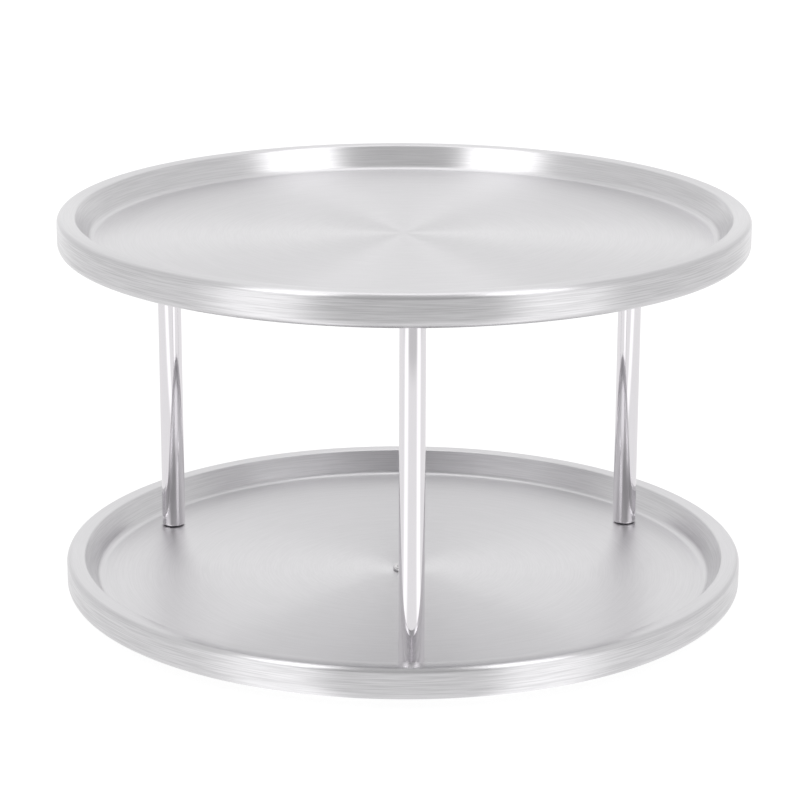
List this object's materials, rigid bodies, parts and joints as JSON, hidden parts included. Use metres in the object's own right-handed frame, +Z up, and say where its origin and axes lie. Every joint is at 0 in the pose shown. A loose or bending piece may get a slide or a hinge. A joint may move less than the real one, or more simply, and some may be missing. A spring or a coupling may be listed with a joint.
{
  "type": "lazy susan turntable",
  "caption": "Two-tier round turntable: brushed steel trays with raised rims on slim polished posts, turning on a low ball-bearing base with rubber feet.",
  "frame": {"origin": "on the table, in the plane of the feet's undersides, on the turning axis", "axes": "+Z up along the turning axis; -Y towards the front post, which stands at 270 degrees"},
  "size_m": [0.267, 0.267, 0.1547],
  "materials": {
    "brushed_stainless": "fine circular brushing, satin",
    "polished_stainless": "mirror polished tube",
    "base_stainless": "cold-rolled, dull",
    "plated_steel": "bright zinc plate",
    "rivet_steel": "bright, formed",
    "bearing_steel": "ground and polished",
    "rubber": "matte moulded rubber",
    "nylon": "natural nylon"
  },
  "bodies": {
    "base": {"base_plate": "base_stainless", "foot_1": "rubber", "foot_2": "rubber", "foot_3": "rubber", "foot_4": "rubber", "pivot_washer": "nylon", "pivot_rivet": "rivet_steel"},
    "cage": {"ball_cage": "nylon"},
    "rolling_ball_01": {"ball_01": "bearing_steel"},
    "rolling_ball_02": {"ball_02": "bearing_steel"},
    "rolling_ball_03": {"ball_03": "bearing_steel"},
    "rolling_ball_04": {"ball_04": "bearing_steel"},
    "rolling_ball_05": {"ball_05": "bearing_steel"},
    "rolling_ball_06": {"ball_06": "bearing_steel"},
    "rolling_ball_07": {"ball_07": "bearing_steel"},
    "rolling_ball_08": {"ball_08": "bearing_steel"},
    "rolling_ball_09": {"ball_09": "bearing_steel"},
    "rolling_ball_10": {"ball_10": "bearing_steel"},
    "rolling_ball_11": {"ball_11": "bearing_steel"},
    "rolling_ball_12": {"ball_12": "bearing_steel"},
    "turntable": {"upper_tray": "brushed_stainless", "lower_tray": "brushed_stainless", "post_1": "polished_stainless", "post_2": "polished_stainless", "post_3": "polished_stainless", "upper_insert_1": "plated_steel", "upper_insert_2": "plated_steel", "upper_insert_3": "plated_steel", "lower_insert_1": "plated_steel", "lower_insert_2": "plated_steel", "lower_insert_3": "plated_steel", "stud_1": "plated_steel", "stud_2": "plated_steel", "stud_3": "plated_steel", "screw_washer_1": "plated_steel", "screw_washer_2": "plated_steel", "screw_washer_3": "plated_steel", "screw_1": "plated_steel", "screw_2": "plated_steel", "screw_3": "plated_steel", "race_ring": "plated_steel"}
  },
  "joints": [
    {"name": "turntable_spin", "type": "hinge", "parent": "base", "child": "turntable", "pos_m": [0, 0, 0.0063], "axis": [0, 0, 1], "continuous": true},
    {"name": "cage_spin", "type": "hinge", "parent": "base", "child": "cage", "pos_m": [0, 0, 0.0044], "axis": [0, 0, 1], "continuous": true},
    {"name": "ball_01_roll", "type": "hinge", "parent": "cage", "child": "rolling_ball_01", "pos_m": [0.055, 0, 0.0044], "axis": [-1, 0, 0], "continuous": true},
    {"name": "ball_02_roll", "type": "hinge", "parent": "cage", "child": "rolling_ball_02", "pos_m": [0.04763, 0.0275, 0.0044], "axis": [-0.866, -0.5, 0], "continuous": true},
    {"name": "ball_03_roll", "type": "hinge", "parent": "cage", "child": "rolling_ball_03", "pos_m": [0.0275, 0.04763, 0.0044], "axis": [-0.5, -0.866, 0], "continuous": true},
    {"name": "ball_04_roll", "type": "hinge", "parent": "cage", "child": "rolling_ball_04", "pos_m": [0, 0.055, 0.0044], "axis": [0, -1, 0], "continuous": true},
    {"name": "ball_05_roll", "type": "hinge", "parent": "cage", "child": "rolling_ball_05", "pos_m": [-0.0275, 0.04763, 0.0044], "axis": [0.5, -0.866, 0], "continuous": true},
    {"name": "ball_06_roll", "type": "hinge", "parent": "cage", "child": "rolling_ball_06", "pos_m": [-0.04763, 0.0275, 0.0044], "axis": [0.866, -0.5, 0], "continuous": true},
    {"name": "ball_07_roll", "type": "hinge", "parent": "cage", "child": "rolling_ball_07", "pos_m": [-0.055, 0, 0.0044], "axis": [1, 0, 0], "continuous": true},
    {"name": "ball_08_roll", "type": "hinge", "parent": "cage", "child": "rolling_ball_08", "pos_m": [-0.04763, -0.0275, 0.0044], "axis": [0.866, 0.5, 0], "continuous": true},
    {"name": "ball_09_roll", "type": "hinge", "parent": "cage", "child": "rolling_ball_09", "pos_m": [-0.0275, -0.04763, 0.0044], "axis": [0.5, 0.866, 0], "continuous": true},
    {"name": "ball_10_roll", "type": "hinge", "parent": "cage", "child": "rolling_ball_10", "pos_m": [0, -0.055, 0.0044], "axis": [0, 1, 0], "continuous": true},
    {"name": "ball_11_roll", "type": "hinge", "parent": "cage", "child": "rolling_ball_11", "pos_m": [0.0275, -0.04763, 0.0044], "axis": [-0.5, 0.866, 0], "continuous": true},
    {"name": "ball_12_roll", "type": "hinge", "parent": "cage", "child": "rolling_ball_12", "pos_m": [0.04763, -0.0275, 0.0044], "axis": [-0.866, 0.5, 0], "continuous": true}
  ],
  "couplings": [
    {"joint": "cage_spin", "follows": "turntable_spin", "ratio": 0.5},
    {"joint": "ball_01_roll", "follows": "turntable_spin", "ratio": 13.75},
    {"joint": "ball_02_roll", "follows": "turntable_spin", "ratio": 13.75},
    {"joint": "ball_03_roll", "follows": "turntable_spin", "ratio": 13.75},
    {"joint": "ball_04_roll", "follows": "turntable_spin", "ratio": 13.75},
    {"joint": "ball_05_roll", "follows": "turntable_spin", "ratio": 13.75},
    {"joint": "ball_06_roll", "follows": "turntable_spin", "ratio": 13.75},
    {"joint": "ball_07_roll", "follows": "turntable_spin", "ratio": 13.75},
    {"joint": "ball_08_roll", "follows": "turntable_spin", "ratio": 13.75},
    {"joint": "ball_09_roll", "follows": "turntable_spin", "ratio": 13.75},
    {"joint": "ball_10_roll", "follows": "turntable_spin", "ratio": 13.75},
    {"joint": "ball_11_roll", "follows": "turntable_spin", "ratio": 13.75},
    {"joint": "ball_12_roll", "follows": "turntable_spin", "ratio": 13.75}
  ]
}
